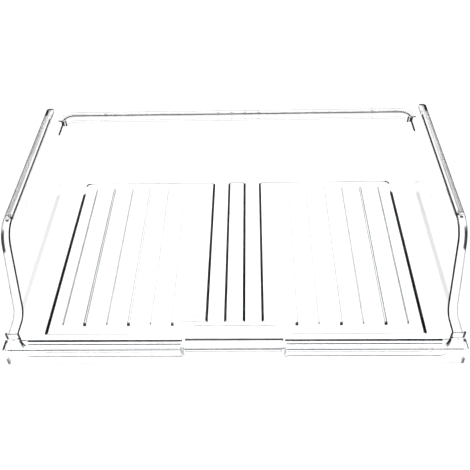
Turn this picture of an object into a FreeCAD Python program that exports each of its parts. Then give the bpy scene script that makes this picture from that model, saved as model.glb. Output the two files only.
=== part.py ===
import FreeCAD, Part
import math
import os
import Sketcher

# A clear storage box for a refrigerator: a wide, shallow tray that hangs by its side rims and is
# pulled out by a grip in the middle of its low front.
# X runs to the right, Y to the back and Z up. The origin is the middle of the box, at floor level.
# All lengths are millimetres. Distances called "at" are measured back from the front of the trims.

SIZES = (
    # whole box
    ("overall_width", 480.0),
    ("overall_depth", 340.0),
    ("rail_height", 125.0),
    # moulded tray
    ("tray_width", 459.0),
    ("wall", 2.5),
    ("floor_thickness", 2.5),
    ("draft_angle", 1.0),
    ("corner_radius", 14.0),
    ("base_radius", 6.0),
    ("front_wall_at", 7.0),
    ("front_wall_height", 22.25),
    ("back_wall_height", 89.5),
    ("rear_ledge", 5.7),
    # side rims and the S-shaped fall of the side walls
    ("rim_overhang", 7.0),
    ("rim_thickness", 2.5),
    ("rim_front_at", 16.5),
    ("rim_front_height", 31.0),
    ("rim_skirt", 9.5),
    ("fall_starts_at", 32.5),
    ("fall_angle", 70.4),
    ("lower_bend", 14.0),
    ("upper_bend", 26.0),
    ("flare_ends_at", 20.0),
    ("rail_end_at", 298.0),
    ("rail_end_radius", 4.0),
    ("drop_top_at", 276.0),
    ("drop_foot_at", 285.5),
    ("drop_bend", 10.0),
    # finger scoop
    ("scoop_width", 110.0),
    ("scoop_foot_at", 51.0),
    ("scoop_lip_at", 4.8),
    ("scoop_top_at", 15.0),
    ("scoop_radius", 8.0),
    # runners under the side rims
    ("runner_width", 4.5),
    ("runner_depth", 7.0),
    ("runner_front_at", 101.5),
    ("runner_round", 1.2),
    ("nose_reach", 8.0),
    ("nose_width", 3.2),
    ("peg_diameter", 2.4),
    ("peg_front_at", 96.5),
    ("peg_rear_at", 271.0),
    # edge trims
    ("trim_thickness", 2.5),
    ("trim_lip", 2.0),
    ("trim_lip_depth", 7.0),
    ("trim_depth", 13.2),
    ("notch_width", 107.0),
    ("trim_lip_inset", 24.0),
    ("grip_width", 101.6),
    ("grip_front_at", 2.3),
    ("grip_back_at", 15.2),
    ("grip_under_back_at", 11.5),
    ("grip_round", 1.0),
    ("strip_edge_round", 1.0),
    ("trim_edge_round", 0.8),
    # floor panels
    ("panel_thickness", 2.0),
    ("panel_inner_edge", 31.3),
    ("panel_outer_edge", 208.0),
    ("panel_front_at", 37.0),
    ("panel_recess_at", 54.5),
    ("panel_recess_edge", 61.0),
    ("panel_back_at", 296.0),
    ("panel_radius", 5.0),
    ("panel_edge_round", 1.2),
    ("recess_radius", 3.0),
    ("strip_half_width", 10.5),
    ("strip_radius", 2.5),
    ("rib_pitch", 24.4),
    ("first_rib", 190.8),
    ("rib_front_at", 49.8),
    ("rib_back_at", 282.5),
    ("short_rib_front_at", 60.0),
    ("narrow_rib_width", 1.6),
    ("narrow_rib_height", 1.6),
    ("broad_rib_width", 3.0),
    ("broad_rib_height", 2.2),
    ("broad_rib_shift", 1.5),
    ("rib_edge_round", 0.5),
    # clearance between two pieces that are fitted together
    ("fit_gap", 0.25),
)
RIBS = 7
PEGS = 3
OVERLAP = 0.2

doc = FreeCAD.newDocument("FridgeStorageBox")
sheet = doc.addObject("Spreadsheet::Sheet", "sizes")
for row, (alias, size) in enumerate(SIZES, start=1):
    sheet.set(f"A{row}", alias)
    sheet.set(f"B{row}", str(size))
    sheet.setAlias(f"B{row}", alias)
doc.recompute()


def value_of(expression):
    """Number that an expression has now."""
    return float(sheet.evalExpression(expression))


def at(distance):
    """Y of a distance measured back from the front of the trims."""
    return f"(({distance}) - sizes.overall_depth / 2)"


def draft_from_top(height):
    """How far a drafted wall has moved inwards at a height, from where it is at the rail's height."""
    return f"((sizes.rail_height - ({height})) * tan(sizes.draft_angle * 1deg))"


# Places that several pieces share, as expressions.
HALF_TRAY = "(sizes.tray_width / 2)"
RIM_EDGE = f"({HALF_TRAY} + sizes.rim_overhang)"
RIM_UNDERSIDE = "(sizes.rail_height - sizes.rim_thickness)"
BACK_WALL_AT = "(sizes.overall_depth - sizes.rear_ledge)"
STRIP_TOP = "(sizes.back_wall_height + sizes.fit_gap + sizes.trim_thickness)"
TRIM_TOP = "(sizes.front_wall_height + sizes.fit_gap + sizes.trim_thickness)"
PANEL_BASE = "(sizes.floor_thickness + sizes.fit_gap)"
PANEL_TOP = f"({PANEL_BASE} + sizes.panel_thickness)"
# From a drafted wall's outside to a lip that hangs behind it.
LIP_CLEARANCE = "(sizes.wall + sizes.fit_gap + sizes.trim_lip_depth * tan(sizes.draft_angle * 1deg))"
SCOOP_SLOPE = (
    "atan((sizes.front_wall_height - sizes.floor_thickness)"
    " / (sizes.scoop_foot_at - sizes.scoop_top_at))"
)


def origin_plane(body, role):
    return next(plane for plane in body.Origin.OriginFeatures if plane.Role == role)


def new_body(label):
    body = doc.addObject("PartDesign::Body", label)
    body.Label = label
    return body


def new_sketch(body, name, role, height="0"):
    """Sketch on one of the body's own planes, raised along the plane's normal."""
    sketch = body.newObject("Sketcher::SketchObject", name)
    sketch.AttachmentSupport = (origin_plane(body, role), [""])
    sketch.MapMode = "FlatFace"
    sketch.setExpression("AttachmentOffset.Base.z", height)
    return sketch


def bind(sketch, kind, elements, expression):
    """Add a dimension to a sketch and bind it to the sheet."""
    index = sketch.addConstraint(Sketcher.Constraint(kind, *elements, value_of(expression)))
    sketch.setExpression(f"Constraints[{index}]", expression)


def outline(sketch, corners):
    """Closed outline through corners, each given as expressions for across, up and radius.

    A radius of "0" leaves a corner sharp.
    """
    points = [FreeCAD.Vector(value_of(across), value_of(up), 0) for across, up, _ in corners]
    radii = [value_of(radius) for _, _, radius in corners]
    count = len(corners)
    enters, leaves, centres = [], [], []
    for index, point in enumerate(points):
        back = (points[index - 1] - point).normalize()
        ahead = (points[(index + 1) % count] - point).normalize()
        half_turn = back.getAngle(ahead) / 2
        reach = radii[index] / math.tan(half_turn)
        enters.append(point + back * reach)
        leaves.append(point + ahead * reach)
        middle = back + ahead
        if radii[index]:
            middle.normalize()
        centres.append(point + middle * (radii[index] / math.sin(half_turn)))
    lines = [
        sketch.addGeometry(Part.LineSegment(leaves[index], enters[(index + 1) % count]))
        for index in range(count)
    ]
    for index, (across, up, radius) in enumerate(corners):
        before, after = lines[index - 1], lines[index]
        if not radii[index]:
            sketch.addConstraint(Sketcher.Constraint("Coincident", before, 2, after, 1))
            bind(sketch, "DistanceX", (-1, 1, after, 1), across)
            bind(sketch, "DistanceY", (-1, 1, after, 1), up)
            continue
        # The arc of a rounded corner is tangent to both sides, which would meet in a marked point.
        centre = centres[index]
        start, end = enters[index] - centre, leaves[index] - centre
        left_turn = start.cross(end).z > 0
        if not left_turn:
            start, end = end, start
        first = math.atan2(start.y, start.x)
        last = math.atan2(end.y, end.x)
        circle = Part.Circle(centre, FreeCAD.Vector(0, 0, 1), radii[index])
        if last < first:
            last += 2 * math.pi
        arc = sketch.addGeometry(Part.ArcOfCircle(circle, first, last))
        near, far = (1, 2) if left_turn else (2, 1)
        sketch.addConstraint(Sketcher.Constraint("Tangent", before, 2, arc, near))
        sketch.addConstraint(Sketcher.Constraint("Tangent", arc, far, after, 1))
        bind(sketch, "Radius", (arc,), radius)
        corner = sketch.addGeometry(Part.Point(points[index]), True)
        sketch.addConstraint(Sketcher.Constraint("PointOnObject", corner, 1, before))
        sketch.addConstraint(Sketcher.Constraint("PointOnObject", corner, 1, after))
        bind(sketch, "DistanceX", (-1, 1, corner, 1), across)
        bind(sketch, "DistanceY", (-1, 1, corner, 1), up)


def rectangle(sketch, low_across, low_up, high_across, high_up, radius="0"):
    outline(
        sketch,
        (
            (low_across, low_up, radius),
            (high_across, low_up, radius),
            (high_across, high_up, radius),
            (low_across, high_up, radius),
        ),
    )


def circle(sketch, across, up, diameter):
    centre = FreeCAD.Vector(value_of(across), value_of(up), 0)
    ring = sketch.addGeometry(Part.Circle(centre, FreeCAD.Vector(0, 0, 1), value_of(diameter) / 2))
    bind(sketch, "DistanceX", (-1, 1, ring, 3), across)
    bind(sketch, "DistanceY", (-1, 1, ring, 3), up)
    bind(sketch, "Diameter", (ring,), diameter)


def extrude(body, kind, name, sketch, length, down=False, symmetric=False, taper=None):
    """Pad or Pocket of a sketch, with its length bound to the sheet."""
    feature = body.newObject(f"PartDesign::{kind}", name)
    feature.Profile = sketch
    feature.setExpression("Length", length)
    feature.Reversed = down
    if symmetric:
        feature.SideType = "Symmetric"
    if taper:
        feature.setExpression("TaperAngle", taper)
    doc.recompute()
    return feature


def cut(body, name, sketch, length, **options):
    """Pocket that has to take some material away."""
    before = body.Tip.Shape.Volume
    feature = extrude(body, "Pocket", name, sketch, length, **options)
    if not feature.Shape.Volume < before:
        raise RuntimeError(f"{name} removes nothing")
    return feature


def round_edges(body, name, radius, wanted):
    """Fillet on the edges of the body so far that a test picks."""
    base = body.Tip
    edges = [f"Edge{number}" for number, edge in enumerate(base.Shape.Edges, start=1) if wanted(edge)]
    if not edges:
        raise RuntimeError(f"{name} finds no edge")
    fillet = body.newObject("PartDesign::Fillet", name)
    fillet.Base = (base, edges)
    fillet.setExpression("Radius", radius)
    doc.recompute()


def is_level(edge, height):
    """Whether an edge lies at one height."""
    box = edge.BoundBox
    return abs(box.ZMin - height) < 1e-3 and abs(box.ZMax - height) < 1e-3


def mirror(body, name, features):
    """Repeat features on the other side of the box."""
    mirrored = body.newObject("PartDesign::Mirrored", name)
    mirrored.Originals = features
    mirrored.MirrorPlane = (origin_plane(body, "YZ_Plane"), [""])
    body.Tip = mirrored
    doc.recompute()
    return mirrored


def peg_places():
    """Distances of the pegs that hold a runner under its rim."""
    spacing = f"(sizes.peg_rear_at - sizes.peg_front_at) / {PEGS - 1}"
    return [f"(sizes.peg_front_at + {index} * {spacing})" for index in range(PEGS)]


def peg_across():
    """Distance of the pegs from the middle of the box."""
    return f"({RIM_EDGE} - sizes.fit_gap - sizes.runner_width / 2)"


def fall_corners(offset):
    """Two corners of the S-shaped fall, moved into the wall by an offset."""
    low_height = f"(sizes.rim_front_height - {offset})"
    high_height = f"(sizes.rail_height - {offset})"
    shift = f"{offset} * tan(sizes.fall_angle / 2 * 1deg)"
    low_at = f"(sizes.fall_starts_at + sizes.lower_bend * tan(sizes.fall_angle / 2 * 1deg) + {shift})"
    rise = "(sizes.rail_height - sizes.rim_front_height) / tan(sizes.fall_angle * 1deg)"
    return (
        (at(low_at), low_height, f"(sizes.lower_bend + {offset})"),
        (at(f"{low_at} + {rise}"), high_height, f"(sizes.upper_bend - {offset})"),
    )


def add_tray_walls(body):
    """Open drafted box with rounded corners and a rounded foot."""
    front = at(f"sizes.front_wall_at - {draft_from_top('sizes.front_wall_height')}")
    back = at(f"{BACK_WALL_AT} + {draft_from_top('sizes.back_wall_height')}")
    outside = new_sketch(body, "tray_outside", "XY_Plane", "sizes.rail_height")
    rectangle(outside, f"-{HALF_TRAY}", front, HALF_TRAY, back, "sizes.corner_radius")
    extrude(body, "Pad", "tray_block", outside, "sizes.rail_height", down=True, taper="-sizes.draft_angle")
    round_edges(body, "tray_foot", "sizes.base_radius", lambda edge: is_level(edge, 0))
    inside = new_sketch(body, "tray_inside", "XY_Plane", "sizes.rail_height")
    rectangle(
        inside,
        f"-({HALF_TRAY} - sizes.wall)",
        f"{front} + sizes.wall",
        f"{HALF_TRAY} - sizes.wall",
        f"{back} - sizes.wall",
        "sizes.corner_radius - sizes.wall",
    )
    cut(
        body,
        "tray_hollow",
        inside,
        "sizes.rail_height - sizes.floor_thickness",
        taper="-sizes.draft_angle",
    )
    floor = value_of("sizes.floor_thickness")
    inner_round = "sizes.base_radius - sizes.wall"
    reach = value_of(f"{HALF_TRAY} - sizes.wall / 2")

    def is_inner_foot(edge):
        box = edge.BoundBox
        return is_level(edge, floor) and max(-box.XMin, box.XMax) < reach

    round_edges(body, "tray_inner_foot", inner_round, is_inner_foot)


def add_scoop(body):
    """Finger scoop: a slope up from the floor to a lip, closed at its sides and open to the front."""
    half_width = "sizes.scoop_width / 2"
    lip_underside = "(sizes.front_wall_height - sizes.wall)"
    block = new_sketch(body, "scoop_plan", "XY_Plane")
    wall_back = at("sizes.front_wall_at + sizes.wall")
    foot = at("sizes.scoop_foot_at")
    outline(
        block,
        (
            (f"-{half_width}", wall_back, "0"),
            (half_width, wall_back, "0"),
            (half_width, foot, "sizes.scoop_radius"),
            (f"-{half_width}", foot, "sizes.scoop_radius"),
        ),
    )
    extrude(body, "Pad", "scoop_block", block, "sizes.front_wall_height")
    slope = new_sketch(body, "scoop_slope_side", "YZ_Plane")
    above = "sizes.front_wall_height + sizes.wall"
    outline(
        slope,
        (
            (at("sizes.scoop_top_at"), "sizes.front_wall_height", "0"),
            (foot, "sizes.floor_thickness", "0"),
            (at("sizes.scoop_foot_at + sizes.wall"), "sizes.floor_thickness", "0"),
            (at("sizes.scoop_foot_at + sizes.wall"), above, "0"),
            (at("sizes.scoop_top_at"), above, "0"),
        ),
    )
    cut(body, "scoop_slope", slope, "sizes.scoop_width + 2 * sizes.wall", symmetric=True)
    lip = new_sketch(body, "scoop_lip_plan", "XY_Plane", "sizes.front_wall_height")
    rectangle(lip, f"-{half_width}", at("sizes.scoop_lip_at"), half_width, wall_back)
    extrude(body, "Pad", "scoop_lip", lip, "sizes.wall", down=True)
    hollow = new_sketch(body, "scoop_hollow_side", "YZ_Plane")
    shift = f"sizes.wall * tan({SCOOP_SLOPE} / 2)"
    slope_foot = (
        f"sizes.scoop_foot_at - sizes.wall / sin({SCOOP_SLOPE})"
        f" + sizes.floor_thickness / tan({SCOOP_SLOPE})"
    )
    outline(
        hollow,
        (
            (at("0 - sizes.wall"), lip_underside, "0"),
            (at(f"sizes.scoop_top_at - {shift}"), lip_underside, "0"),
            (at(slope_foot), "0", "0"),
            (at("0 - sizes.wall"), "0", "0"),
        ),
    )
    cut(body, "scoop_finger_room", hollow, "sizes.scoop_width - 2 * sizes.wall", symmetric=True)


def add_side_fall(body):
    """Cut the walls down: the front wall, the S-shaped falls of the sides and the back wall."""
    region = new_sketch(body, "fall_region", "YZ_Plane")
    above = "sizes.rail_height * 1.2"
    low, high = fall_corners("0")
    outline(
        region,
        (
            (at("-sizes.wall"), above, "0"),
            (at("-sizes.wall"), "sizes.front_wall_height", "0"),
            (at("sizes.rim_front_at"), "sizes.front_wall_height", "0"),
            (at("sizes.rim_front_at"), low[1], "0"),
            low,
            high,
            (at("sizes.drop_top_at"), "sizes.rail_height", "0"),
            (at("sizes.drop_foot_at"), "sizes.back_wall_height", "sizes.drop_bend"),
            (at("sizes.overall_depth + sizes.wall"), "sizes.back_wall_height", "0"),
            (at("sizes.overall_depth + sizes.wall"), above, "0"),
        ),
    )
    cut(body, "side_fall", region, "sizes.overall_width * 1.2", symmetric=True)


def add_rims(body):
    """Outward rims along the tops of the side walls, turned down at the front and flared to the trims."""
    root = f"{HALF_TRAY} - sizes.wall + {OVERLAP}"
    rim = new_sketch(body, "rim_side", "YZ_Plane", root)
    low, high = fall_corners("0")
    under_low, under_high = fall_corners("sizes.rim_thickness")
    skirt_foot = "sizes.rim_front_height - sizes.rim_skirt"
    outline(
        rim,
        (
            (at("sizes.rim_front_at"), skirt_foot, "0"),
            (at("sizes.rim_front_at"), "sizes.rim_front_height", "0"),
            low,
            high,
            (at("sizes.rail_end_at"), "sizes.rail_height", "0"),
            (at("sizes.rail_end_at"), RIM_UNDERSIDE, "0"),
            under_high,
            under_low,
            (at("sizes.rim_front_at + sizes.rim_thickness"), under_low[1], "0"),
            (at("sizes.rim_front_at + sizes.rim_thickness"), skirt_foot, "0"),
        ),
    )
    band = extrude(body, "Pad", "rim", rim, f"{RIM_EDGE} - ({root})")
    edge = f"({RIM_EDGE} - {OVERLAP})"
    half_width = "sizes.overall_width / 2"
    flare = new_sketch(body, "flare_plan", "XY_Plane", "sizes.rim_front_height")
    outline(
        flare,
        (
            (edge, at("sizes.rim_front_at"), "0"),
            (half_width, at("sizes.rim_front_at"), "0"),
            (half_width, at("sizes.flare_ends_at"), "0"),
            (RIM_EDGE, at("sizes.fall_starts_at"), "0"),
            (edge, at("sizes.fall_starts_at"), "0"),
        ),
    )
    plate = extrude(body, "Pad", "rim_flare", flare, "sizes.rim_thickness", down=True)
    face = new_sketch(body, "flare_face", "XY_Plane", "sizes.rim_front_height")
    rectangle(
        face,
        edge,
        at("sizes.rim_front_at"),
        half_width,
        at("sizes.rim_front_at + sizes.rim_thickness"),
    )
    skirt = extrude(body, "Pad", "rim_flare_skirt", face, "sizes.rim_skirt", down=True)
    holes = new_sketch(body, "peg_holes", "XY_Plane", "sizes.rail_height")
    for place in peg_places():
        circle(holes, peg_across(), at(place), "sizes.peg_diameter + 2 * sizes.fit_gap")
    bores = cut(body, "rim_peg_holes", holes, "sizes.rim_thickness")
    mirror(body, "both_rims", [band, plate, skirt, bores])
    rim_end = value_of(at("sizes.rail_end_at"))

    def is_rail_end(edge):
        box = edge.BoundBox
        is_upright = box.XLength < 1e-3 and box.YLength < 1e-3 and box.ZLength > 1
        return is_upright and abs(box.YMin - rim_end) < 1e-3

    round_edges(body, "rim_rail_ends", "sizes.rail_end_radius", is_rail_end)


def make_tray_shell():
    body = new_body("tray_shell")
    add_tray_walls(body)
    add_scoop(body)
    add_side_fall(body)
    add_rims(body)


def make_runner(label, side):
    """Strip under a side rim, held by pegs that stand in the rim's holes."""
    body = new_body(label)
    top = f"{RIM_UNDERSIDE} - sizes.fit_gap"
    inner = f"{side} * ({peg_across()} - sizes.runner_width / 2)"
    outer = f"{side} * ({peg_across()} + sizes.runner_width / 2)"
    plan = new_sketch(body, f"{label}_plan", "XY_Plane", top)
    rectangle(
        plan,
        inner,
        at("sizes.runner_front_at"),
        outer,
        at("sizes.rail_end_at - sizes.fit_gap"),
        "sizes.runner_width / 3",
    )
    extrude(body, "Pad", f"{label}_bar", plan, "sizes.runner_depth", down=True)
    nose = new_sketch(body, f"{label}_nose_plan", "XY_Plane", top)
    rectangle(
        nose,
        f"{side} * ({peg_across()} - sizes.nose_width / 2)",
        at("sizes.runner_front_at - sizes.nose_reach"),
        f"{side} * ({peg_across()} + sizes.nose_width / 2)",
        at("sizes.runner_front_at + sizes.runner_width"),
        "sizes.nose_width / 3",
    )
    extrude(body, "Pad", f"{label}_nose", nose, "sizes.rim_thickness", down=True)
    underside = value_of(f"{top} - sizes.runner_depth")
    round_edges(body, f"{label}_sliding_edges", "sizes.runner_round", lambda edge: is_level(edge, underside))
    pegs = new_sketch(body, f"{label}_peg_plan", "XY_Plane", top)
    for place in peg_places():
        circle(pegs, f"{side} * {peg_across()}", at(place), "sizes.peg_diameter")
    extrude(body, "Pad", f"{label}_pegs", pegs, "sizes.rim_thickness")


def band_outline(sketch, inner_offset, outer_offset):
    """Band around the back wall and its two corners, between two offsets from the wall's outside."""
    wall_drift = draft_from_top("sizes.back_wall_height")
    across = f"({HALF_TRAY} - sizes.corner_radius)"
    behind = at(f"{BACK_WALL_AT} + {wall_drift} - sizes.corner_radius")
    inner = f"(sizes.corner_radius - {wall_drift} + ({inner_offset}))"
    outer = f"(sizes.corner_radius - {wall_drift} + ({outer_offset}))"
    half, back = value_of(across), value_of(behind)
    small, large = value_of(inner), value_of(outer)
    normal = FreeCAD.Vector(0, 0, 1)

    def arc(side, radius):
        centre = FreeCAD.Vector(side * half, back, 0)
        first = 0 if side > 0 else math.pi / 2
        return sketch.addGeometry(
            Part.ArcOfCircle(Part.Circle(centre, normal, radius), first, first + math.pi / 2)
        )

    def line(start, end):
        return sketch.addGeometry(Part.LineSegment(FreeCAD.Vector(*start, 0), FreeCAD.Vector(*end, 0)))

    outer_right, outer_left = arc(1, large), arc(-1, large)
    inner_right, inner_left = arc(1, small), arc(-1, small)
    outer_back = line((half, back + large), (-half, back + large))
    inner_back = line((half, back + small), (-half, back + small))
    right_end = line((half + small, back), (half + large, back))
    left_end = line((-half - small, back), (-half - large, back))
    joins = (
        ("Tangent", outer_right, 2, outer_back, 1),
        ("Tangent", outer_back, 2, outer_left, 1),
        ("Tangent", inner_right, 2, inner_back, 1),
        ("Tangent", inner_back, 2, inner_left, 1),
        ("Coincident", right_end, 1, inner_right, 1),
        ("Coincident", right_end, 2, outer_right, 1),
        ("Coincident", left_end, 1, inner_left, 2),
        ("Coincident", left_end, 2, outer_left, 2),
        ("Coincident", outer_right, 3, inner_right, 3),
        ("Coincident", outer_left, 3, inner_left, 3),
    )
    for join in joins:
        sketch.addConstraint(Sketcher.Constraint(*join))
    bind(sketch, "DistanceX", (-1, 1, outer_right, 3), across)
    bind(sketch, "DistanceY", (-1, 1, outer_right, 3), behind)
    bind(sketch, "DistanceX", (-1, 1, outer_left, 3), f"-{across}")
    bind(sketch, "Radius", (outer_right,), outer)
    bind(sketch, "Radius", (inner_right,), inner)
    sketch.addConstraint(Sketcher.Constraint("Horizontal", outer_back))
    sketch.addConstraint(Sketcher.Constraint("Horizontal", right_end))
    sketch.addConstraint(Sketcher.Constraint("Horizontal", left_end))


def make_rear_rim_strip():
    """Edge strip on the back wall: a ledge with two lips that hold the wall between them."""
    body = new_body("rear_rim_strip")
    inside = f"-({LIP_CLEARANCE} + sizes.trim_lip)"
    ledge = new_sketch(body, "ledge_plan", "XY_Plane", STRIP_TOP)
    band_outline(ledge, inside, "sizes.rear_ledge")
    extrude(body, "Pad", "ledge", ledge, "sizes.trim_thickness", down=True)
    lip_length = "sizes.trim_thickness + sizes.fit_gap + sizes.trim_lip_depth"
    inner_lip = new_sketch(body, "inner_lip_plan", "XY_Plane", STRIP_TOP)
    band_outline(inner_lip, inside, f"-{LIP_CLEARANCE}")
    extrude(body, "Pad", "inner_lip", inner_lip, lip_length, down=True)
    outer_lip = new_sketch(body, "outer_lip_plan", "XY_Plane", STRIP_TOP)
    band_outline(outer_lip, "sizes.fit_gap", "sizes.fit_gap + sizes.trim_lip")
    extrude(body, "Pad", "outer_lip", outer_lip, lip_length, down=True)
    top = value_of(STRIP_TOP)
    back = value_of(at("sizes.overall_depth"))
    corner = value_of(f"{HALF_TRAY}")

    def is_outer_edge(edge):
        box = edge.BoundBox
        return is_level(edge, top) and (abs(box.YMax - back) < 1e-3 or max(box.XMax, -box.XMin) > corner)

    round_edges(body, "ledge_edge", "sizes.strip_edge_round", is_outer_edge)


def make_front_trim(label, side):
    """Box-section strip over the front wall.

    It has a top, a skirt in front, two lips that hold the wall between them, and two closed ends.
    """
    body = new_body(label)
    half_notch = "sizes.notch_width / 2"
    half_width = "sizes.overall_width / 2"

    def slab(name, near, far, front, back, low, high):
        across = (near, far) if side > 0 else (f"-({far})", f"-({near})")
        plan = new_sketch(body, f"{label}_{name}_plan", "XY_Plane", high)
        rectangle(plan, across[0], at(front), across[1], at(back))
        extrude(body, "Pad", f"{label}_{name}", plan, f"({high}) - ({low})", down=True)

    top_underside = f"{TRIM_TOP} - sizes.trim_thickness"
    lip_foot = f"{top_underside} - sizes.fit_gap - sizes.trim_lip_depth"
    lip_near = "sizes.scoop_width / 2 + sizes.fit_gap * 4"
    lip_far = f"{HALF_TRAY} - sizes.trim_lip_inset"
    wall_front = "sizes.front_wall_at - sizes.fit_gap"
    slab("top", half_notch, half_width, "0", "sizes.trim_depth", top_underside, TRIM_TOP)
    slab("skirt", half_notch, half_width, "0", "sizes.trim_lip", "0", TRIM_TOP)
    end_back = "sizes.scoop_lip_at - sizes.fit_gap"
    slab("inner_end", half_notch, f"{half_notch} + sizes.trim_lip", "0", end_back, "0", TRIM_TOP)
    slab("outer_end", f"{half_width} - sizes.trim_lip", half_width, "0", "sizes.trim_depth", "0", TRIM_TOP)
    slab("wall_lip", lip_near, lip_far, f"{wall_front} - sizes.trim_lip", wall_front, lip_foot, TRIM_TOP)
    back_lip_front = f"sizes.front_wall_at + {LIP_CLEARANCE}"
    back_lip_back = f"{back_lip_front} + sizes.trim_lip"
    slab("back_lip", lip_near, lip_far, back_lip_front, back_lip_back, lip_foot, TRIM_TOP)
    face = value_of(at("0"))
    round_edges(
        body,
        f"{label}_face_edges",
        "sizes.trim_edge_round",
        lambda edge: abs(edge.BoundBox.YMin - face) < 1e-3 and abs(edge.BoundBox.YMax - face) < 1e-3,
    )


def make_finger_grip():
    """Bar that closes round the lip of the scoop."""
    body = new_body("finger_grip")
    lip_underside = "sizes.front_wall_height - sizes.wall"
    foot = f"{lip_underside} - sizes.fit_gap - sizes.trim_lip"
    web_back = "sizes.scoop_lip_at - sizes.fit_gap"
    section = new_sketch(body, "grip_section", "YZ_Plane")
    outline(
        section,
        (
            (at("sizes.grip_front_at"), foot, "sizes.grip_round"),
            (at("sizes.grip_under_back_at"), foot, "0"),
            (at("sizes.grip_under_back_at"), f"{foot} + sizes.trim_lip", "0"),
            (at(web_back), f"{foot} + sizes.trim_lip", "0"),
            (at(web_back), f"{TRIM_TOP} - sizes.trim_thickness", "0"),
            (at("sizes.grip_back_at"), f"{TRIM_TOP} - sizes.trim_thickness", "0"),
            (at("sizes.grip_back_at"), TRIM_TOP, "0"),
            (at("sizes.grip_front_at"), TRIM_TOP, "sizes.grip_round"),
        ),
    )
    extrude(body, "Pad", "grip_bar", section, "sizes.grip_width", symmetric=True)


def rib_across(index):
    return f"(sizes.first_rib - {index} * sizes.rib_pitch)"


def make_ribbed_panel(label, side):
    """Floor panel with seven ribs, broad and narrow in turn, recessed beside the scoop."""
    body = new_body(label)
    plan = new_sketch(body, f"{label}_plan", "XY_Plane", PANEL_BASE)
    outline(
        plan,
        (
            (f"{side} * sizes.panel_outer_edge", at("sizes.panel_front_at"), "sizes.panel_radius"),
            (f"{side} * sizes.panel_outer_edge", at("sizes.panel_back_at"), "sizes.panel_radius"),
            (f"{side} * sizes.panel_inner_edge", at("sizes.panel_back_at"), "sizes.panel_radius"),
            (f"{side} * sizes.panel_inner_edge", at("sizes.panel_recess_at"), "sizes.recess_radius"),
            (f"{side} * sizes.panel_recess_edge", at("sizes.panel_recess_at"), "sizes.recess_radius"),
            (f"{side} * sizes.panel_recess_edge", at("sizes.panel_front_at"), "sizes.recess_radius"),
        ),
    )
    extrude(body, "Pad", f"{label}_plate", plan, "sizes.panel_thickness")
    plate_top = value_of(PANEL_TOP)
    round_edges(body, f"{label}_rim", "sizes.panel_edge_round", lambda edge: is_level(edge, plate_top))
    ribs = {
        "narrow": new_sketch(body, f"{label}_narrow_rib_plan", "XY_Plane", PANEL_TOP),
        "broad": new_sketch(body, f"{label}_broad_rib_plan", "XY_Plane", PANEL_TOP),
    }
    for index in range(RIBS):
        breadth = "broad" if index % 2 else "narrow"
        shift = "sizes.broad_rib_shift" if breadth == "broad" else "0"
        front = "sizes.short_rib_front_at" if index == RIBS - 1 else f"sizes.rib_front_at - {shift}"
        half = f"{side} * sizes.{breadth}_rib_width / 2"
        middle = f"{side} * {rib_across(index)}"
        rectangle(
            ribs[breadth],
            f"{middle} - {half}",
            at(front),
            f"{middle} + {half}",
            at(f"sizes.rib_back_at - {shift}"),
        )
    for breadth, sketch in ribs.items():
        height = f"sizes.{breadth}_rib_height"
        extrude(body, "Pad", f"{label}_{breadth}_ribs", sketch, height)
        rib_top = value_of(f"{PANEL_TOP} + {height}")
        round_edges(
            body,
            f"{label}_{breadth}_rib_edges",
            "sizes.rib_edge_round",
            lambda edge: is_level(edge, rib_top),
        )


def make_centre_strip():
    """Plain strip between the two ribbed panels."""
    body = new_body("centre_strip")
    plan = new_sketch(body, "centre_strip_plan", "XY_Plane", PANEL_BASE)
    rectangle(
        plan,
        "-sizes.strip_half_width",
        at("sizes.panel_recess_at"),
        "sizes.strip_half_width",
        at("sizes.panel_back_at"),
        "sizes.strip_radius",
    )
    extrude(body, "Pad", "centre_strip_plate", plan, "sizes.panel_thickness")
    top = value_of(PANEL_TOP)
    round_edges(body, "centre_strip_rim", "sizes.panel_edge_round", lambda edge: is_level(edge, top))


def check_document():
    """Stop if any object failed or any sub-part's shape is missing or broken."""
    doc.recompute()
    for item in doc.Objects:
        if "Invalid" in item.State or "Error" in item.State:
            raise RuntimeError(f"{item.Name} is {item.State}")
    for body in doc.findObjects("PartDesign::Body"):
        if body.Shape.isNull() or not body.Shape.isValid():
            raise RuntimeError(f"{body.Label} has no valid shape")


def write_parts():
    os.makedirs("parts", exist_ok=True)
    for body in doc.findObjects("PartDesign::Body"):
        body.Shape.exportStep(f"parts/{body.Label}.step")
        box = body.Shape.BoundBox
        print(f"{body.Label}: {len(body.Shape.Solids)} solid, {body.Shape.Volume / 1000:.1f} cm3, {box}")


make_tray_shell()
for name, side in (("left", -1), ("right", 1)):
    make_runner(f"{name}_runner", side)
    make_front_trim(f"{name}_front_trim", side)
    make_ribbed_panel(f"{name}_ribbed_panel", side)
make_rear_rim_strip()
make_finger_grip()
make_centre_strip()
check_document()
write_parts()
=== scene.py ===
import math

import bpy
from mathutils import Matrix, Vector


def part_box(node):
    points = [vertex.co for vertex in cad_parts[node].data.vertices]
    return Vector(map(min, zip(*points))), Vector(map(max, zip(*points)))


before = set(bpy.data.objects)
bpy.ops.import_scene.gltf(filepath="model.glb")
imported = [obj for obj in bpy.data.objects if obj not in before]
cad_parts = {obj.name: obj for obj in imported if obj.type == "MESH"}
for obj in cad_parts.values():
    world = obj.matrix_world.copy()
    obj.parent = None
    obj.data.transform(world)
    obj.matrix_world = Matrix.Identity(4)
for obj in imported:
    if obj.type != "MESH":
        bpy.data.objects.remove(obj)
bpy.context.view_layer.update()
scene = bpy.context.scene
MM = 0.001

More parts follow.
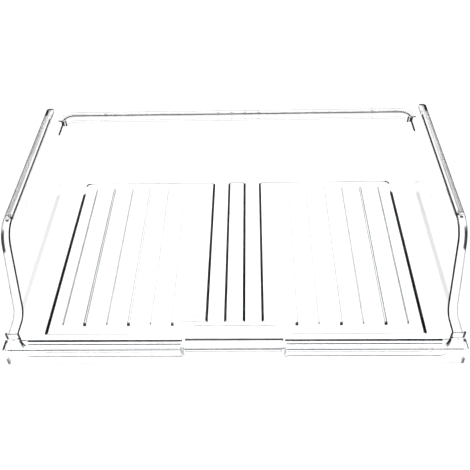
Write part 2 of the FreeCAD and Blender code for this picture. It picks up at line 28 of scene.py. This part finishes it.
# Camera, in metres and degrees, as the photograph was taken
CAMERA_PLACE = Vector((0.0205, -0.5695, 0.5743))
CAMERA_YAW = -2.12
CAMERA_PITCH = 43.955
CAMERA_ROLL = -1.917
FOCAL_PIXELS = 651.3
FRAME_PIXELS = 470
SENSOR_WIDTH = 36.0
CLIP_START = 0.01

# Studio, in metres and watts
FLOOR_SIDE = 14
FLOOR_DROP = 0.0005
FLOOR_WHITE = (0.9, 0.9, 0.9, 1)
SURROUNDING_WHITE = (0.74, 0.745, 0.75, 1)
SOFTBOX_PLACE = (0, 0.5, 3.0)
SOFTBOX_TARGET = (0, 0.5, 0)
SOFTBOX_SIDE = 2.4
SOFTBOX_POWER = 62

# Bounces that light needs to get through several clear walls
GLASS_BOUNCES = 24
SHADOW_BOUNCES = 32

# Clear moulded plastic
PLASTIC_IOR = 1.36
TRIM_IOR = 1.28
CLEAR = (1.0, 1.0, 1.0, 1)
# Colour of the painted shade: dark lines that stand in for those refraction draws along clear edges
PAINTED_SHADE = (0.0008, 0.0012, 0.0016, 1)
# Warm grey of the runner's streaks, and of the painted shade on the runner's and the rear strip's edges
RUNNER_GREY = (0.12, 0.07, 0.07, 1)
SHADOW_TINT = (0.985, 0.99, 0.995, 1)
ABSORBED_TINT = (0.86, 0.93, 0.98, 1)
ABSORPTION = 9.0
MOST_HAZE = 0.012
HAZE_SCALE = 9.0
WAVE_SCALE = 45.0
WAVE_HEIGHT = 0.15 * MM
WAVE_STRENGTH = 0.12

# Rounded normals: rays for each, and the cosines of the turns where an edge's mask starts and is full
EDGE_SAMPLES = 6
EDGE_TURN = (0.985, 0.85)


class Corners:
    """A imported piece's box in millimetres, where inner and outer are distances from the middle."""

    def __init__(self, node):
        low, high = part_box(node)
        self.inner, self.front, self.foot = (round(place / MM, 3) for place in low)
        self.outer, self.back, self.top = (round(place / MM, 3) for place in high)


shell = Corners("tray_shell")
runner = Corners("right_runner")
strip = Corners("rear_rim_strip")
trim = Corners("right_front_trim")
grip = Corners("finger_grip")
panel = Corners("right_ribbed_panel")
centre = Corners("centre_strip")

# Places on the box, in millimetres. A cap is the part of a trim or strip that lies over its wall's top.
CAP = 2.75
FRONT_WALL_TOP = trim.top - CAP
BACK_WALL_TOP = strip.top - CAP
FLOOR_TOP = 2.5
RUNNER_TOP = runner.foot + 7.0
RAIL_START = runner.front + 4.0
RAIL_END = runner.back + 0.25
DROP_START = 106.0
FALL_MIDDLE = 76.0
FALL_FOOT = 26.5
RIM_FRONT_TOP = 31.0
RIM_FRONT = -153.5
FLARE_BACK = -150.0
SCOOP_FOOT = -122.0
PLATE_TOP = centre.top

# Ribs of a panel, from its outer side: where they lie, in millimetres, and how dark the painted shade along
# each one is
FIRST_RIB = 190.8
RIB_PITCH = 24.4
RIB_DEPTHS = (0.62, 0.75, 0.5, 0.5, 0.35, 0.4, 0.2)


class Nodes:
    """One material's node tree, with short ways to add nodes to it."""

    def __init__(self, name):
        self.material = bpy.data.materials.new(name)
        self.material.use_nodes = True
        self.tree = self.material.node_tree
        self.tree.nodes.clear()
        self.place = self.add("ShaderNodeTexCoord").outputs["Object"]
        axes = self.add("ShaderNodeSeparateXYZ")
        self.feed(axes.inputs[0], self.place)
        self.x, self.y, self.z = axes.outputs
        self.across = self.math("ABSOLUTE", self.x)
        self.shades = []

    def add(self, kind, **settings):
        node = self.tree.nodes.new(kind)
        for key, value in settings.items():
            setattr(node, key, value)
        return node

    def feed(self, socket, value):
        """Link a socket to another node's output, or set it to a number or a colour."""
        if isinstance(value, bpy.types.NodeSocket):
            self.tree.links.new(value, socket)
        else:
            socket.default_value = value

    def math(self, operation, *values):
        node = self.add("ShaderNodeMath", operation=operation)
        for socket, value in zip(node.inputs, values):
            self.feed(socket, value)
        return node.outputs[0]

    def ramp(self, value, start, end, low=0.0, high=1.0):
        """Smooth rise from low at start to high at end."""
        node = self.add("ShaderNodeMapRange", interpolation_type="SMOOTHSTEP")
        for name, number in (
            ("Value", value),
            ("From Min", start),
            ("From Max", end),
            ("To Min", low),
            ("To Max", high),
        ):
            self.feed(node.inputs[name], number)
        return node.outputs["Result"]

    def rise(self, value, start, end, low=0.0, high=1.0):
        """Smooth rise between two places in millimetres."""
        return self.ramp(value, start * MM, end * MM, low, high)

    def apart(self, value, middle):
        """Distance from a place in millimetres."""
        return self.math("ABSOLUTE", self.math("SUBTRACT", value, middle * MM))

    def near(self, value, middle, reach, soft=0.3):
        """One within reach of a place, in millimetres, and nothing beyond."""
        return self.rise(self.apart(value, middle), reach + soft, reach)

    def between(self, value, low, high, soft=0.4):
        return self.near(value, (low + high) / 2, (high - low) / 2, soft)

    def both(self, *masks):
        result = masks[0]
        for mask in masks[1:]:
            result = self.math("MULTIPLY", result, mask)
        return result

    def either(self, first, second):
        """Two masks that don't meet, as one."""
        return self.math("ADD", first, second)

    def darken(self, depth, *masks):
        """Paint shade into the plastic where all masks are one, by a depth up to one: dark lines that stand
        in for those refraction draws along its edges.
        """
        self.shades.append((self.both(*masks), depth))

    def steepness(self, normal):
        """A normal's height, and its size without its sign."""
        parts = self.add("ShaderNodeSeparateXYZ")
        self.feed(parts.inputs[0], self.add("ShaderNodeNewGeometry").outputs[normal])
        height = parts.outputs[2]
        return height, self.math("ABSOLUTE", height)

    def facing_up(self):
        """One on faces that look up or down, nothing on upright faces."""
        return self.ramp(self.steepness("True Normal")[1], 0.3, 0.5)

    def noise(self, scale, detail=2.0, stretch=(1, 1, 1)):
        mapping = self.add("ShaderNodeMapping")
        self.feed(mapping.inputs["Vector"], self.place)
        mapping.inputs["Scale"].default_value = stretch
        node = self.add("ShaderNodeTexNoise")
        self.feed(node.inputs["Vector"], mapping.outputs[0])
        node.inputs["Scale"].default_value = scale
        node.inputs["Detail"].default_value = detail
        return node.outputs["Fac"]

    def uneven(self):
        """Slow changes along the box's length, for black lines of painted shade that aren't quite even."""
        return self.ramp(self.noise(14.0, 2.0, (0.2, 1, 0.2)), 0.3, 0.5, 0.94, 1.0)

    def edges(self, radius):
        """One along the piece's own edges, where a rounded normal leaves the face's normal."""
        bevel = self.add("ShaderNodeBevel", samples=EDGE_SAMPLES)
        bevel.inputs["Radius"].default_value = radius * MM
        face = self.add("ShaderNodeNewGeometry")
        dot = self.add("ShaderNodeVectorMath", operation="DOT_PRODUCT")
        self.feed(dot.inputs[0], bevel.outputs["Normal"])
        self.feed(dot.inputs[1], face.outputs["True Normal"])
        return self.ramp(dot.outputs["Value"], *EDGE_TURN)

    def levelled(self, mask):
        """The surface's normal, turned upright where the mask is one and the face isn't steep."""
        height, size = self.steepness("Normal")
        upright = self.add("ShaderNodeCombineXYZ")
        self.feed(upright.inputs[2], self.math("SIGN", height))
        flatter = self.ramp(size, 0.08, 0.25)
        mix = self.add("ShaderNodeMix", data_type="VECTOR")
        self.feed(mix.inputs[0], self.both(mask, flatter))
        self.feed(mix.inputs[4], self.add("ShaderNodeNewGeometry").outputs["Normal"])
        self.feed(mix.inputs[5], upright.outputs[0])
        return mix.outputs[1]

    def tone(self):
        """One on clear plastic, nothing where the painted shade is darkest."""
        result = 1.0
        for mask, depth in self.shades:
            kept = self.math("SUBTRACT", 1.0, self.math("MULTIPLY", mask, depth))
            result = kept if result == 1.0 else self.math("MULTIPLY", result, kept)
        return result

    def surface_waves(self, level):
        """Normal of a slightly wavy surface, levelled where the level mask is one."""
        bump = self.add("ShaderNodeBump")
        bump.inputs["Strength"].default_value = WAVE_STRENGTH
        bump.inputs["Distance"].default_value = WAVE_HEIGHT
        self.feed(bump.inputs["Height"], self.noise(WAVE_SCALE, 1.0))
        if level is not None:
            self.feed(bump.inputs["Normal"], self.levelled(level))
        return bump.outputs[0]

    def plastic(self, dark=PAINTED_SHADE, level=None, index=PLASTIC_IOR):
        """Finish the material: clear plastic whose colour and shine are painted dark where painted shade
        lies.

        Where the level mask is one, a rounded edge shines like the flat face above it.
        """
        # Painted shade: the masks' tone turns both the colour and the shine towards the dark colour
        tint = self.add("ShaderNodeMix", data_type="RGBA")
        self.feed(tint.inputs["Factor"], self.tone())
        self.feed(tint.inputs[6], dark)
        self.feed(tint.inputs[7], CLEAR)
        glass = self.add("ShaderNodeBsdfPrincipled")
        self.feed(glass.inputs["Base Color"], tint.outputs[2])
        self.feed(glass.inputs["Specular Tint"], tint.outputs[2])
        haze = self.ramp(self.noise(HAZE_SCALE, 4.0), 0.3, 0.8, 0.0, MOST_HAZE)
        self.feed(glass.inputs["Roughness"], haze)
        self.feed(glass.inputs["Normal"], self.surface_waves(level))
        glass.inputs["Transmission Weight"].default_value = 1.0
        glass.inputs["IOR"].default_value = index
        through = self.add("ShaderNodeBsdfTransparent")
        through.inputs["Color"].default_value = SHADOW_TINT
        path = self.add("ShaderNodeLightPath")
        surface = self.add("ShaderNodeMixShader")
        self.feed(surface.inputs[0], path.outputs["Is Shadow Ray"])
        self.feed(surface.inputs[1], glass.outputs[0])
        self.feed(surface.inputs[2], through.outputs[0])
        inside = self.add("ShaderNodeVolumeAbsorption")
        inside.inputs["Color"].default_value = ABSORBED_TINT
        inside.inputs["Density"].default_value = ABSORPTION
        output = self.add("ShaderNodeOutputMaterial")
        self.feed(output.inputs["Surface"], surface.outputs[0])
        self.feed(output.inputs["Volume"], inside.outputs[0])
        return self.material


def add_camera():
    """Camera at the photograph's place and angle."""
    data = bpy.data.cameras.new("camera")
    data.sensor_width = SENSOR_WIDTH
    data.lens = FOCAL_PIXELS / FRAME_PIXELS * SENSOR_WIDTH
    data.clip_start = CLIP_START
    camera = bpy.data.objects.new("camera", data)
    scene.collection.objects.link(camera)
    yaw, pitch, roll = (math.radians(angle) for angle in (CAMERA_YAW, CAMERA_PITCH, CAMERA_ROLL))
    forward = math.cos(pitch)
    ahead = Vector((math.sin(yaw) * forward, math.cos(yaw) * forward, -math.sin(pitch)))
    level_right = Vector((math.cos(yaw), -math.sin(yaw), 0))
    level_up = level_right.cross(ahead)
    right = level_right * math.cos(roll) + level_up * math.sin(roll)
    up = level_up * math.cos(roll) - level_right * math.sin(roll)
    turn = Matrix((right, up, -ahead)).transposed()
    camera.matrix_world = Matrix.Translation(CAMERA_PLACE) @ turn.to_4x4()
    scene.camera = camera


def add_stage():
    """Plain pale floor under the box."""
    bpy.ops.mesh.primitive_plane_add(size=FLOOR_SIDE, location=(0, 0, -FLOOR_DROP))
    floor = bpy.context.object
    floor.name = "studio_floor"
    material = bpy.data.materials.new("studio_white")
    material.use_nodes = True
    shader = material.node_tree.nodes["Principled BSDF"]
    shader.inputs["Base Color"].default_value = FLOOR_WHITE
    shader.inputs["Roughness"].default_value = 1.0
    shader.inputs["Specular IOR Level"].default_value = 0.0
    floor.data.materials.append(material)


def add_world():
    """Even white surroundings, which the clear plastic mirrors."""
    world = bpy.data.worlds.new("studio")
    scene.world = world
    world.use_nodes = True
    background = world.node_tree.nodes["Background"]
    background.inputs["Color"].default_value = SURROUNDING_WHITE
    background.inputs["Strength"].default_value = 1.0


def add_softbox():
    """Large soft light over the box."""
    data = bpy.data.lights.new("ceiling_softbox", "AREA")
    data.shape = "RECTANGLE"
    data.size = SOFTBOX_SIDE
    data.size_y = SOFTBOX_SIDE
    data.energy = SOFTBOX_POWER
    lamp = bpy.data.objects.new("ceiling_softbox", data)
    lamp.location = SOFTBOX_PLACE
    aim = Vector(SOFTBOX_TARGET) - Vector(SOFTBOX_PLACE)
    lamp.rotation_euler = aim.to_track_quat("-Z", "Y").to_euler()
    scene.collection.objects.link(lamp)


def darken_wall_tops(t):
    """Painted shade line along the top of each side wall, weaker along the rail, in the fall's middle and
    at its foot.
    """
    along = t.rise(t.y, RAIL_START - 7.5, RAIL_START + 4.5, low=0.7, high=0.3)
    off_middle = t.rise(t.apart(t.z, FALL_MIDDLE), 12, 26, low=0.4)
    above_drop = t.rise(t.z, shell.top - 11, shell.top - 7, low=0.15)
    off_drop = t.math("MAXIMUM", above_drop, t.rise(t.y, DROP_START - 6, DROP_START - 16))
    behind_flare = t.rise(t.y, FLARE_BACK + 0.5, FLARE_BACK + 2.5)
    beside_panel = t.rise(t.across, panel.outer - 18, panel.outer - 3)
    off_foot = t.rise(t.z, RIM_FRONT_TOP + 4, RIM_FRONT_TOP + 44, low=0.45)
    t.darken(0.85, t.edges(0.5), along, off_middle, off_drop, behind_flare, beside_panel, off_foot)


def darken_rims(t):
    """Painted shade lines along both sides of each rim, a dark painted bulge where it starts to fall and a
    black painted rear end.
    """
    rim = t.rise(t.z, shell.top - 10, shell.top - 9)
    rail = t.both(rim, t.between(t.y, RAIL_START, RAIL_END))
    in_front = t.rise(t.y, RAIL_START + 0.5, RAIL_START - 1.5)
    fall = t.both(in_front, t.rise(t.z, FALL_FOOT, FALL_FOOT + 2))
    rim_width = t.between(t.across, runner.inner - 3.75, runner.outer + 0.75)
    rear_stretch = t.between(t.y, runner.back - 13.75, runner.back + 0.75)
    fading = t.rise(t.y, 0, 60, low=1.0, high=0.55)
    bulge = t.between(t.z, shell.top - 23, shell.top - 7, soft=3.0)
    t.darken(0.8, rail, t.near(t.across, runner.outer - 0.15, reach=0.6))
    t.darken(0.6, fall, t.near(t.across, runner.outer - 0.05, reach=0.4))
    t.darken(0.55, rail, t.near(t.across, runner.inner + 0.55, reach=0.4), fading)
    t.darken(0.95, fall, t.near(t.across, runner.outer - 1.15, reach=1.1), bulge)
    t.darken(0.97, rim, t.near(t.y, runner.back - 0.55, reach=0.9), rim_width)
    t.darken(0.995, rim, t.near(t.across, runner.outer - 0.95, reach=1.6), rear_stretch)


def darken_front_corners(t):
    """Black strokes of painted shade where each rim meets the front trim, and a grey painted line across
    the rim's front end.
    """
    t.darken(
        0.99,
        t.between(t.across, trim.outer - 19.5, trim.outer - 11.7),
        t.between(t.y, trim.back - 5.6, trim.back + 3.8),
        t.between(t.z, FRONT_WALL_TOP - 5.75, FRONT_WALL_TOP + 1.75),
    )
    above_wall = t.rise(t.z, FRONT_WALL_TOP - 0.25, FRONT_WALL_TOP + 0.25)
    rim_end = t.both(t.between(t.y, RIM_FRONT - 1.5, FLARE_BACK + 0.2), above_wall)
    outermost = t.rise(t.across, shell.outer - 2.7, shell.outer - 2.2)
    t.darken(0.999, rim_end, outermost, t.rise(t.y, RIM_FRONT + 1.9, RIM_FRONT + 1.3))
    foremost = t.rise(t.y, RIM_FRONT + 0.9, RIM_FRONT + 0.6)
    topmost = t.rise(t.z, RIM_FRONT_TOP - 0.8, RIM_FRONT_TOP - 0.5)
    rim_width = t.between(t.across, runner.inner - 3.75, runner.outer + 0.75)
    t.darken(0.5, rim_end, foremost, topmost, rim_width)


def darken_floor(t):
    """Painted black shade on the floor beside the panels' long sides, in the gap between the parts, and a
    faint painted line at the scoop's foot.
    """
    floor = t.rise(t.z, FLOOR_TOP + 0.7, FLOOR_TOP + 0.5)
    outer_side = t.between(t.y, panel.front + 1.5, panel.back - 22)
    inner_side = t.between(t.y, centre.front + 1, centre.back - 0.5)
    t.darken(0.99, floor, outer_side, t.near(t.across, panel.outer + 0.2, reach=1.1))
    t.darken(0.99, floor, inner_side, t.near(t.across, panel.inner - 0.5, reach=0.7))
    t.darken(0.99, floor, inner_side, t.near(t.across, centre.outer + 0.6, reach=0.7))
    scoop_middle = t.rise(t.across, grip.outer - 2.8, grip.outer - 6.8)
    low_slope = t.rise(t.z, FLOOR_TOP + 6.5, FLOOR_TOP + 5.5)
    t.darken(0.6, t.near(t.y, SCOOP_FOOT, reach=0.7), scoop_middle, low_slope)


def shell_plastic():
    """Tray: thin lines of painted shade along its edges, fading to the rear and front."""
    t = Nodes("clear_shell")
    # Painted shade along the tray's wall tops, rims, front corners and floor
    darken_wall_tops(t)
    darken_rims(t)
    darken_front_corners(t)
    darken_floor(t)
    front_top = t.between(t.z, FRONT_WALL_TOP - 1.35, FRONT_WALL_TOP + 0.25, soft=0.2)
    rear_top = t.between(t.z, BACK_WALL_TOP - 0.7, BACK_WALL_TOP + 1.5, soft=0.2)
    behind = t.rise(t.y, DROP_START - 6, DROP_START - 2)
    return t.plastic(level=t.math("MAXIMUM", front_top, t.both(rear_top, behind)))


def runner_plastic():
    """Runner: warm grey streaks over its top, and painted shade along its edges."""
    t = Nodes("clear_runner")
    streaks = t.ramp(t.noise(60.0, 3.0, (1, 0.25, 1)), 0.35, 0.65, 0.3, 1.0)
    upper = t.rise(t.z, RUNNER_TOP - 0.75, RUNNER_TOP + 0.25)
    t.darken(0.62, streaks, upper)
    # Painted shade along the runner's upper edges
    t.darken(0.5, t.edges(0.6), upper)
    return t.plastic(dark=RUNNER_GREY)


def rear_strip_plastic():
    """Rear strip: two grey lines of painted shade with paler painted shade between them."""
    t = Nodes("clear_strip")
    top = t.rise(t.z, strip.top - 1.25, strip.top - 0.85)
    off_ends = t.rise(t.y, strip.back - 18, strip.back - 14, low=0.3)
    back_stretch = t.rise(t.y, strip.back - 10, strip.back - 7)
    # Painted shade along the strip's edges, over its top and along its back edge
    t.darken(0.5, t.edges(0.8), off_ends)
    t.darken(0.2, top)
    t.darken(0.6, top, back_stretch, t.near(t.y, strip.back - 1.0, reach=0.9))
    return t.plastic(dark=RUNNER_GREY, level=t.rise(t.y, strip.back - 16, strip.back - 17.5))


def trim_plastic():
    """Front trim: painted shade as a dark line along the back of its top, and faint painted lines along its
    face.
    """
    t = Nodes("clear_trim")
    face = t.rise(t.y, trim.front + 1.4, trim.front + 1)
    upper = t.rise(t.z, trim.top - 0.7, trim.top - 0.5)
    # Painted shade: a dark line along the back of the trim's top
    back_line = t.both(
        t.between(t.y, trim.back - 2.7, trim.back + 0.8, soft=0.3),
        upper,
        t.facing_up(),
        t.between(t.across, trim.inner - 0.5, trim.outer - 24),
    )
    t.darken(1.0, back_line, t.rise(t.across, 60, 190, low=0.992))
    # Painted shade in the trim's outer front corner, at its foot
    t.darken(
        0.99,
        t.between(t.across, trim.outer - 1.9, trim.outer + 1),
        t.between(t.z, trim.foot - 1, trim.foot + 9),
        t.between(t.y, trim.front - 1, trim.front + 4),
    )
    # Faint painted shade along the trim's face, its foot, its inner edge and its outer edges
    outer_half = t.rise(t.across, 90, 225, low=0.05, high=0.6)
    t.darken(0.15, t.edges(0.8), upper, face, outer_half)
    t.darken(0.35, face, t.near(t.z, trim.foot + 0.5, reach=0.6))
    off_foot = t.rise(t.z, trim.foot + 8, trim.foot + 22)
    t.darken(0.8, face, t.near(t.across, trim.inner + 0.5, reach=0.7), off_foot)
    outer_edge = t.near(t.across, trim.outer - 0.5, reach=0.5)
    t.darken(0.5, upper, t.either(outer_edge, t.near(t.across, trim.outer - 3.2, reach=0.4)))
    level = t.both(t.rise(t.z, trim.top - 1.5, trim.top - 1), face)
    return t.plastic(level=level, index=TRIM_IOR)


def grip_plastic():
    """Finger grip: irregular grey lines of painted shade along the front and back of its top."""
    t = Nodes("clear_grip")
    streaks = t.ramp(t.noise(60.0, 2.0, (1, 0.2, 0.2)), 0.35, 0.6, 0.4, 1.0)
    # Painted shade along the front and back edges of the grip's top
    back_line = t.near(t.y, grip.back - 0.6, reach=0.6)
    front_line = t.near(t.y, grip.front + 0.7, reach=0.6)
    t.darken(0.35, t.either(back_line, front_line), streaks, t.rise(t.z, grip.top - 0.7, grip.top - 0.5))
    return t.plastic(level=t.rise(t.z, grip.top - 1.4, grip.top - 1.1))


def darken_narrow_rib(t, ribs, place, depth):
    """One thin line of painted shade, with a grey painted front end."""
    t.darken(depth, ribs, t.near(t.across, place, reach=0.9, soft=0.4))
    t.darken(0.5, t.near(t.across, place, reach=0.9), t.near(t.y, panel.front + 13.2, reach=0.8))


def darken_broad_rib(t, ribs, place, depth):
    """A line of painted shade on each side, the outer one broader, with a black painted dot at the front
    end.
    """
    t.darken(depth, ribs, t.near(t.across, place + 1.1, reach=0.7))
    t.darken(0.6 * depth, ribs, t.near(t.across, place - 1.2, reach=0.35, soft=0.2))
    t.darken(0.97, t.near(t.across, place, reach=1.6), t.near(t.y, panel.front + 12.1, reach=1.1))


def panel_plastic():
    """Ribbed panel: painted black shade along its long edges, and thin grey painted shade along its ribs.
    """
    t = Nodes("clear_panel")
    # Painted shade along the plate's long edges, its back and its rear corners, then along each rib
    plate = t.rise(t.z, PLATE_TOP + 0.25, PLATE_TOP + 0.05)
    length = t.between(t.y, panel.front + 1, panel.back)
    rear_gap = t.rise(t.apart(t.y, panel.back - 14), 6, 10, low=0.15)
    outer = t.both(t.near(t.across, panel.outer - 1, reach=1.6), rear_gap)
    inner = t.near(t.across, panel.inner + 0.5, reach=0.8)
    outer_corner = t.between(t.across, panel.outer - 6, panel.outer + 1)
    inner_corner = t.between(t.across, panel.inner - 1.3, panel.inner + 2.7)
    corners = t.either(outer_corner, inner_corner)
    t.darken(0.995, plate, length, t.either(outer, inner), t.uneven())
    t.darken(0.75, plate, t.near(t.y, panel.back - 0.6, reach=0.8))
    t.darken(0.97, plate, t.near(t.y, panel.back - 1.2, reach=1.5), corners)
    ribs = t.between(t.y, panel.front + 12.5, panel.back - 13.5)
    for index, depth in enumerate(RIB_DEPTHS):
        darken_rib = darken_broad_rib if index % 2 else darken_narrow_rib
        darken_rib(t, ribs, FIRST_RIB - RIB_PITCH * index, depth)
    front_edge = t.rise(t.y, panel.front + 21, panel.front + 20)
    return t.plastic(level=t.both(plate, front_edge))


def centre_plastic():
    """Centre strip: painted black shade along its long edges."""
    t = Nodes("clear_centre")
    # Painted shade along the long edges and the back edge
    t.darken(0.995, t.near(t.across, centre.outer - 0.6, reach=0.8), t.uneven())
    t.darken(0.8, t.near(t.y, centre.back - 0.6, reach=0.8))
    return t.plastic(level=t.rise(t.y, panel.front + 21, panel.front + 20))


def paint(node, material):
    """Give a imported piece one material."""
    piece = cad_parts[node]
    if not piece.material_slots:
        piece.data.materials.append(material)
    for slot in piece.material_slots:
        slot.material = material


add_camera()
add_stage()
add_world()
add_softbox()

paint("tray_shell", shell_plastic())
paint("rear_rim_strip", rear_strip_plastic())
paint("finger_grip", grip_plastic())
paint("centre_strip", centre_plastic())
pair_looks = {
    "runner": runner_plastic(),
    "front_trim": trim_plastic(),
    "ribbed_panel": panel_plastic(),
}
for side in ("left", "right"):
    for part, look in pair_looks.items():
        paint(f"{side}_{part}", look)

scene.view_settings.view_transform = "Standard"
scene.cycles.max_bounces = GLASS_BOUNCES
scene.cycles.transmission_bounces = GLASS_BOUNCES
scene.cycles.transparent_max_bounces = SHADOW_BOUNCES
